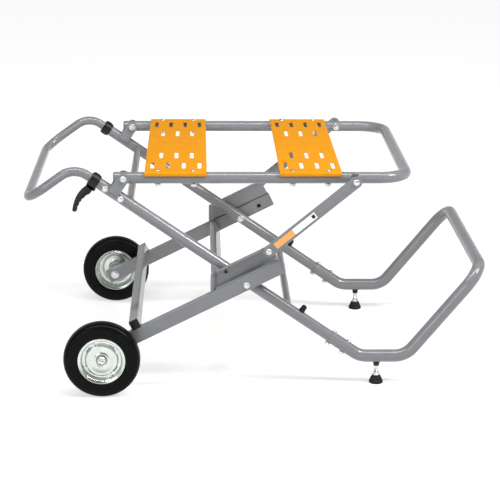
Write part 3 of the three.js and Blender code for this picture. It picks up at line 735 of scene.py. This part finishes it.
def make_fittings():
    for side, s in SIDES.items():
        y = s * TRACK
        profile = [
            (12.5, -490), (17.4, -490), (18.2, -489.2), (18.2, -487.0), (19.6, -486.8), (20.2, -486.2),
            (20.2, -472.4), (19.6, -471.8), (18.4, -471.6), (18.4, -467.0), (17.8, -466.4), (15.2, -466.4),
            (15.2, -486.5), (12.5, -486.5),
        ]
        collar = lathe(profile, at((0, 0), y), main_way, 64, loop=True)
        if side == "right":
            lugs = []
            pivot = on_main(-478, -30.5)
            corners = [(-489, -14), (-463, -14), (-463, -24), (-489, -24)]
            shoulder = rounded([on_main(*corner) for corner in corners], 3, 4)
            for face in (-10.2, 6.8):
                for shape in (bar_outline(on_main(-478, -14), pivot, 9.5), shoulder):
                    lug = slab(shape, y + face, y + face + 3.4, 0.7)
                    lugs.append(cut(lug, [cylinder(2.6, at(pivot, y), Y_AXIS, -12, 12, 0.1, 24)]))
            stand_for("lever_pin", cylinder(2.5, at(pivot, y), Y_AXIS, -11, 11, 0.7, 24))
            collar = merge([collar, *lugs])
        stand_for(f"collar_{side}", collar)

        hinge = hinge_bracket(y)
        stand_for(f"hinge_bracket_{side}", hinge)
        foot = main_way * on_main_s(TABLE_HINGE)
        for face in (-1, 1):
            start = at((0, 0), y + face * 16.4) + foot + main_up * 1.6
            weld = bead(line(start - main_way * 13, start + main_way * 13), 1.6)
            name = f"hinge_bracket_weld_{side}_{'in' if face * s < 0 else 'out'}"
            piece(name, weld, "main_frame", "stand_paint")

        top = MAIN_R + 17.5
        profile = [
            (0, top), (3.2, top - 0.2), (5.4, top - 1.2), (6.6, top - 3.0), (7.2, top - 6.0), (7.5, top - 12),
            (8.2, top - 15), (8.6, top - 17.4), (8.6, top - 20), (8.2, 10), (0, 10),
        ]
        stand_for(f"bumper_{side}", lathe(profile, at(on_main(168), y), main_up))


def on_main_s(offset):
    """Distance along a main tube of the point nearest an offset."""
    return Vector((offset[0], 0, offset[1])).dot(main_way)


def hinge_bracket(y):
    """Bent sheet bracket: two round-topped ears joined by a web that lies on the main tube."""
    s = on_main_s(TABLE_HINGE)
    foot = on_main(s, 2)
    whole = slab(bar_outline(foot, TABLE_HINGE, 15), y - 19.3, y + 19.3, 0.7)
    room = slab([on_main(s - 40, 18.3), on_main(s + 40, 18.3), on_main(s + 40, 120), on_main(s - 40, 120)],
                y - 16.3, y + 16.3, 1.8)
    below = slab([on_main(s - 40, -40), on_main(s + 40, -40), on_main(s + 40, 2), on_main(s - 40, 2)],
                 y - 40, y + 40, 0.1)
    tube = cylinder(MAIN_R + 0.2, at((0, 0), y) + main_way * s, main_way, -40, 40, 0.1, 64)
    inner = slab([on_main(s - 40, -10), on_main(s + 40, -10), on_main(s + 40, 15.3), on_main(s - 40, 15.3)],
                 y - 16.3, y + 16.3, 1.8)
    return cut(whole, [room, below, inner, tube])


def make_wheel_frame():
    for side, s in SIDES.items():
        middle = s * 357.0
        leg = square_tube(at(on_leg(-22), middle), at(on_leg(524), middle), leg_up, 20, 38, 2, 3.2)
        holes = [cylinder(6.3, at(on_leg(483, -1.5)), Y_AXIS * s, 342, 352, 0.1, 32)]
        stand_for(f"wheel_leg_{side}", cut(leg, holes))

        def corner(s_along, t, y):
            return at(on_leg(s_along, t), y)

        for place in (386, 447):
            start = corner(place - 7, 19.6, s * 366.3)
            weld = bead(line(start, start + leg_way * 14), 1.7)
            piece(f"link_bracket_weld_{side}_{place}", weld, "wheel_frame", "stand_paint")
        for end, place in (("low", 98), ("high", 123)):
            weld = bead(line(corner(place, 19.5, s * 347.5), corner(place, 19.5, s * 366.5)), 1.6)
            piece(f"cross_bar_weld_{side}_{end}", weld, "wheel_frame", "stand_paint")
        for end, place in (("low", 326), ("high", 346)):
            weld = bead(line(corner(place, -16, s * 346.6), corner(place, 16, s * 346.6)), 1.6)
            piece(f"cross_member_weld_{side}_{end}", weld, "wheel_frame", "stand_paint")
        stand_for(f"link_bracket_{side}", link_bracket(s))

        low, size = 19.3, 25
        cap = rounded([(0, 0), (size, 0), (size, size), (0, size)], 3, 4, loop=True)
        origin = corner(98, low, s * 366.8)
        face = extrude(cap, origin, leg_way, leg_up, Y_AXIS * s, 3.6, 0.9, 3)
        plug = rounded([(2.4, 2.4), (22.6, 2.4), (22.6, 22.6), (2.4, 22.6)], 2, 3, loop=True)
        inside = extrude(plug, corner(98, low, s * 353), leg_way, leg_up, Y_AXIS * s, 14.5, 0.4)
        stand_for(f"bar_cap_{side}", merge([face, inside]))

        out = Y_AXIS * s
        origin = at(AXLE)
        hub_cap = [
            (0, 429.2), (2.4, 429.0), (4.4, 430.2), (6.0, 432.6), (8.2, 433.0), (10.2, 431.4), (11.2, 428.6),
            (11.4, 426.4), (10.6, 425.6), (0, 425.6),
        ]
        washer = [(6.2, 345.2), (12, 345.2), (12.2, 345.5), (12.2, 346.6), (6.2, 346.6)]
        parts = [
            lathe(hub_cap, origin, out),
            cylinder(6.2, origin, out, 337, 428, 0.6, 32),
            lathe(washer, origin, out, loop=True),
            hexagon(10.6, origin, out, 338.6, 345.3, 0.9),
            lathe([(6.3, 367.3), (9.4, 367.3), (9.4, 371.7), (6.3, 371.7)], origin, out, loop=True),
        ]
        stand_for(f"axle_bolt_{side}", merge(parts))

    centre = 19.3 + 12.5
    bar = square_tube(at(on_leg(110.5, centre), -367), at(on_leg(110.5, centre), 367), leg_up, 25, 25, 2, 3)
    stand_for("lower_cross_bar", bar)
    member = square_tube(at(on_leg(336), -346.9), at(on_leg(336), 346.9), leg_up, 20, 38, 2, 6)
    stand_for("upper_cross_member", member)


def link_bracket(s):
    """Channel on the leg's upper face, open outboard, with an upright fold that closes its handle end."""
    low, top, sheet = 19.3, 63.6, 3.0
    outside = rounded([(366, top), (347, top), (347, top - 12)], 5, 5)
    outside += rounded([(347, low + 24), (347, low), (366, low)], 12, 8)
    inside = rounded([(366, low + sheet), (350, low + sheet), (350, low + 24)], 9, 8)
    inside += rounded([(350, top - 12), (350, top - sheet), (366, top - sheet)], 2.4, 5)
    shape = [(s * y, t) for y, t in outside + inside]
    channel = extrude(shape, at(on_leg(335)), Y_AXIS, leg_up, leg_way, 522 - 335, 0.4)
    edge = -80.1
    handle_side = slab([(edge - 90, -90), (edge, -90), (edge, 250), (edge - 90, 250)], s * 330, s * 380, 0.01)
    notch = slab([on_leg(496, top - 9), on_leg(540, top - 9), on_leg(540, top + 9), on_leg(496, top + 9)],
                 s * 350, s * 380, 0.01)
    hole = cylinder(5.5, at(on_leg(385.6, 49)), Y_AXIS * s, 340, 356, 0.1, 32)
    channel = cut(channel, [handle_side, notch, hole])
    plan = [(edge + 2, 347), (edge - 14.5, 364.5), (edge - 13, 366), (edge + 3, 350)]
    fold = extrude([(x, s * y) for x, y in plan], at((0, -PIVOT_HEIGHT)), X_AXIS, Y_AXIS, Z_AXIS, 500, 0.4)
    under = slab([on_leg(50, -520), on_leg(650, -520), on_leg(650, low + 0.3), on_leg(50, low + 0.3)],
                 s * 330, s * 380, 0.01)
    over = slab([on_leg(250, top - 0.3), on_leg(450, top - 0.3), on_leg(450, 500), on_leg(250, 500)],
                s * 330, s * 380, 0.01)
    boss = cylinder(10, at(LINK_BOTTOM), Y_AXIS * s, 349, 366, 0.6)
    return merge([channel, cut(fold, [under, over]), boss])


# ---------------------------------------------------------------- table plates and links


def make_plates():
    rows = ((260, (-1.5, -0.5, 0.5, 1.5)), (140, (-1, 0, 1)))
    under = TABLE_HINGE[1] + MAIN_R + GAP
    reach, sheet, bend, drop, width = TRACK + MAIN_R + GAP, 2.5, 2.0, 8.0, 160.0
    for node, middle in (("mounting_plate_handle_end", -184), ("mounting_plate_base_end", 164.5)):
        outer, inner = [], []
        for sign in (-1, 1):
            for k in range(9):
                a = math.radians(90 * k / 8)
                y_out, z_out = math.cos(a) * (bend + sheet), math.sin(a) * (bend + sheet)
                y_in, z_in = math.cos(a) * bend, math.sin(a) * bend
                outer.append((sign * (reach - bend + y_out), -bend + z_out))
                inner.append((sign * (reach - bend + y_in), -bend + z_in))
        left, right = outer[:9], outer[9:][::-1]
        left_in, right_in = inner[:9], inner[9:][::-1]
        profile = [(-reach - sheet, -drop), *left, *right, (reach + sheet, -drop), (reach, -drop)]
        profile += [*right_in[::-1], *left_in[::-1], (-reach, -drop)]
        origin = at((middle - width / 2, under))
        plate = extrude(profile, origin, Y_AXIS, Z_AXIS, X_AXIS, width, 0.35)
        cutters = []
        for row, steps in rows:
            for step in steps:
                for y in (-row, row):
                    offset = (middle + step * 41, under - 4)
                    ends = [math.radians(k * 9) for k in range(21)]
                    shape = [(5 * math.cos(a), 33 + 5 * math.sin(a)) for a in ends]
                    shape += [(-5 * math.cos(a), -33 - 5 * math.sin(a)) for a in ends]
                    cutters.append(extrude(shape, at(offset, y), X_AXIS, Y_AXIS, Z_AXIS, 12, 0.01, 1))
        for x in (-1, 1):
            for y in (-1, 1):
                corner = at((middle + x * (width / 2 + 1), under - drop - 1), y * (reach - 4))
                radius = 4
                side = radius + 1
                turns = [math.radians(k * 9) for k in range(11)]
                curve = [(side - radius * math.sin(a), side - radius * math.cos(a)) for a in turns]
                shape = [(-x * px, pz) for px, pz in [(0, 0), (side, 0), *curve, (0, side)]]
                cutters.append(extrude(shape, corner, X_AXIS, Z_AXIS, Y_AXIS * y, 12, 0.01, 1))
        whole = cut(plate, [merge(cutters)])
        stand_for(node, whole, smooth=28)

        tail = "handle_end" if middle < 0 else "base_end"
        for side, s in SIDES.items():
            for index, shift in enumerate((-46, 46), 1):
                origin = at((middle + shift, 0), s * TRACK)
                top = under + sheet
                rail_low = TABLE_HINGE[1] - MAIN_R
                parts = [
                    dome_head(6.6, 3.4, origin, Z_AXIS, top),
                    cylinder(3.4, origin, Z_AXIS, rail_low - 8, top + 1, 0.5, 24),
                    cylinder(7.8, origin, Z_AXIS, rail_low - 1.2, rail_low + 0.4, 0.3),
                    hexagon(8.2, origin, Z_AXIS, rail_low - 7.4, rail_low - 1.1, 0.5),
                ]
                piece(f"plate_bolt_{tail}_{side}_{index}", merge(parts), "table", "zinc_hardware")


def make_links():
    for side, s in SIDES.items():
        outline = bar_outline(LINK_BOTTOM, LINK_TOP, 15)
        stand_for(f"link_{side}", slab(outline, s * 373.7, s * 378.7, 0.7))
        height = TABLE_HINGE[1]
        start = at((LINK_TOP[0] - 9, height + 11.2), s * (TRACK + 10.6))
        weld = bead(line(start, start + X_AXIS * 18), 1.7)
        piece(f"link_boss_weld_{side}", weld, "table", "stand_paint")
    start = at(LINK_BOTTOM, -378.7)
    end = at(LINK_TOP, -378.7)
    way = (end - start).normalized()
    across = way.cross(Y_AXIS)
    fields = (("orange", 22, 83, sticker_orange), ("white", 83, 155, sticker_white))
    for name, low, high, material in fields:
        shape = rounded([(low, -8.5), (high, -8.5), (high, 8.5), (low, 8.5)], 0.8, 3, loop=True)
        label = extrude(shape, start, way, across, -Y_AXIS, 0.25, 0.08, 1)
        piece(f"sticker_{name}", label, "link_right_body", "plate_paint", material)
    badge = rounded([(143, -5), (152, -5), (152, 5), (143, 5)], 1.2, 3, loop=True)
    mark = extrude(badge, start - Y_AXIS * 0.25, way, across, -Y_AXIS, 0.12, 0.04, 1)
    piece("sticker_badge", mark, "link_right_body", "black_plastic")


# ---------------------------------------------------------------- wheels


def make_wheels():
    half = [(56.6, 0), (56.6, 19.4), (62.4, 19.7), (63.2, 21.2), (64.8, 23.6), (67.2, 24.7), (70.5, 25.0),
            (73.2, 25.0), (73.8, 24.5), (74.6, 24.5), (75.2, 25.0), (84.0, 24.9), (87.5, 24.6), (88.0, 24.1),
            (88.8, 24.0), (89.4, 24.2), (92.0, 23.2), (94.6, 21.6), (96.8, 19.2), (98.3, 16.2), (99.0, 13.6),
            (98.4, 13.2), (98.4, 12.4), (99.3, 12.0), (99.8, 8.5), (100, 4.5), (100, 0.5)]
    tyre = rounded(half, 0.6, 2) + [(r, -y) for r, y in rounded(half, 0.6, 2)[::-1]][:-1]
    rim = [(6.4, 10.2), (12.2, 10.4), (13.6, 12.0), (15.2, 14.2), (17.0, 14.7), (18.8, 14.2), (20.6, 12.9),
           (23.0, 12.4), (28.0, 13.2), (34.6, 14.8), (38.4, 15.2), (40.4, 14.2), (41.4, 11.6), (42.2, 8.2),
           (43.8, 6.6), (46.0, 6.2), (49.6, 6.4), (51.6, 7.6), (52.8, 10.6), (53.5, 17.6), (54.6, 19.6),
           (56.4, 20.6), (58.4, 21.4), (60.0, 22.6), (61.4, 22.8), (62.2, 21.8), (62.0, 20.6), (60.8, 19.9),
           (56.3, 19.9), (56.3, -19.9), (60.8, -19.9), (62.0, -20.6), (62.2, -21.8), (61.4, -22.8),
           (60.0, -22.6), (58.4, -21.4), (56.4, -20.6), (54.6, -19.6), (53.5, -17.6), (52.8, -10.0),
           (51.6, 1.8), (50.0, 3.4), (46.0, 3.6), (43.0, 3.9), (40.6, 5.4), (39.4, 8.6), (38.2, 11.4),
           (36.0, 12.2), (30.0, 11.0), (24.0, 9.6), (19.0, 6.6), (15.4, 2.0), (15.0, -2.0), (15.0, -41.6),
           (14.4, -42.8), (13.2, -43.0), (6.4, -43.0)]
    for side, s in SIDES.items():
        out = Y_AXIS * s
        origin = at(AXLE)
        shift = [(r, WHEEL_MIDDLE + y) for r, y in tyre]
        stand_for(f"tyre_{side}", lathe(shift, origin, out, 128, loop=True), smooth=30)
        shift = [(r, WHEEL_MIDDLE + y) for r, y in rounded(rim, 0.8, 3, loop=True)]
        parts = [lathe(shift, origin, out, 128, loop=True)]
        turn = {"right": 28, "left": 10}[side]
        for k in range(4):
            a = math.radians(turn + 90 * k)
            radial = X_AXIS * math.cos(a) + Z_AXIS * math.sin(a)
            around = radial.cross(Y_AXIS)
            shape = rounded([(41.0, -4.2), (51.8, -4.8), (51.8, 4.8), (41.0, 4.2)], 1.6, 3, loop=True)
            start = origin + out * (WHEEL_MIDDLE + 5.2)
            parts.append(extrude(shape, start, radial, around, out, 5.4, 1.4, 3))
        stand_for(f"wheel_rim_{side}", merge(parts), rim_zinc, smooth=40)
        # Thin black arcs laid on the rim's channel floor stand in for its slot openings: painted shade, not
        # cut holes.
        slot_shades = []
        for k in range(4):
            start = turn + 90 * k + 14
            angles = [math.radians(a) for a in range(start, start + 24)]
            inner = [(43.6 * math.cos(a), 43.6 * math.sin(a)) for a in angles]
            outer = [(45.6 * math.cos(a), 45.6 * math.sin(a)) for a in angles]
            begin = origin + out * (WHEEL_MIDDLE + 6.0)
            slot_shades.append(extrude(inner + outer[::-1], begin, X_AXIS, Z_AXIS, out, 0.75, 0.2, 1))
        piece(f"rim_slot_shades_{side}", merge(slot_shades), f"wheel_{side}", "black_rubber")


# ---------------------------------------------------------------- lever and feet


def make_lever():
    pivot = on_main(-478, -30.5)
    spine = [Vector(pivot), Vector((pivot[0] - 30, pivot[1] - 16)), Vector((pivot[0] - 36.5, pivot[1] - 58))]
    outer, inner = [], []
    steps = 72
    for k in range(steps + 1):
        u = k / steps
        point = spine[0] * (1 - u) ** 2 + spine[1] * 2 * u * (1 - u) + spine[2] * u * u
        way = ((spine[1] - spine[0]) * (1 - u) + (spine[2] - spine[1]) * u).normalized()
        half = 5 + 6.5 * (1 - u) ** 1.3
        wave = 1.8 * math.sin((u - 0.25) * math.pi * 5.3) ** 2 if u > 0.25 else 0
        tip = math.sqrt(max(0.0, 1 - max(0.0, (u - 0.95) / 0.05) ** 2))
        outer.append((point.x + way.y * half * tip, point.y - way.x * half * tip))
        inner.append((point.x - way.y * (half + wave) * tip, point.y + way.x * (half + wave) * tip))
    faces = (-TRACK - 6.2, -TRACK + 6.2)
    blade = slab(outer[:-1] + inner[::-1], *faces, 2.2)
    hub = cylinder(9.5, at(pivot), Y_AXIS, *faces, 1.2)
    stand_for("release_lever", merge([blade, hub]), smooth=40)


def make_feet():
    for side, s in SIDES.items():
        origin = at((FOOT_OFFSET, -PIVOT_HEIGHT), s * TRACK)
        pad = [
            (0, 0), (18.2, 0), (18.8, 0.8), (18.8, 4.6), (18.3, 6.6), (16.9, 8.0), (16.2, 9.6), (15.2, 13.2),
            (13.4, 16.8), (11.6, 19.6), (11.2, 21.2), (10.4, 22), (0, 22),
        ]
        stand_for(f"foot_pad_{side}", lathe(rounded(pad, 0.8, 3), origin, Z_AXIS, 64))
        tube_low = PIVOT_HEIGHT + BASE_LOW - BASE_R
        parts = [
            lathe([(0, 22.2), (9.6, 22.2), (9.8, 22.6), (9.8, 24.2), (8.8, 25), (0, 25)], origin, Z_AXIS),
            hexagon(8.4, origin, Z_AXIS, 24.8, 30.2, 0.7),
            threads(4.9, origin, Z_AXIS, 29, PIVOT_HEIGHT + BASE_LOW - 3),
        ]
        stand_for(f"foot_stud_{side}", merge(parts))
        insert = [
            (5.3, tube_low - 9), (6.8, tube_low - 9), (7.6, tube_low - 8.2), (8.9, tube_low - 1.2),
            (9.6, tube_low - 0.9), (9.8, tube_low + 1.2), (5.3, tube_low + 1.2),
        ]
        nut_low = tube_low - 9.6 - 6
        nut = cut(hexagon(8.4, origin, Z_AXIS, nut_low, nut_low + 6, 0.7),
                  [cylinder(5.2, origin, Z_AXIS, nut_low - 4, nut_low + 10, 0.1, 32)])
        stand_for(f"foot_nut_{side}", nut)
        stand_for(f"foot_insert_{side}", lathe(insert, origin, Z_AXIS, 48, loop=True))


sticker_white = label_print("sticker_print", 90, (0.80, 0.81, 0.82), (0.88, 0.88, 0.89), (0.22, 0.34))
sticker_orange = label_print("sticker_orange", 120, (0.74, 0.33, 0.07), (0.78, 0.38, 0.10), (0.24, 0.36))

make_camera()
make_studio()
make_tubes()
make_bolts()
make_fittings()
make_wheel_frame()
make_plates()
make_links()
make_wheels()
make_lever()
make_feet()

for node, obj in frame["nodes"].items():
    obj.data.materials.clear()
    obj.data.materials.append(SLOT_MATERIAL[slot_of[node]])
left = sorted(name for name, obj in frame["nodes"].items() if not obj.hide_render)
print("CAD nodes still shown:", left)
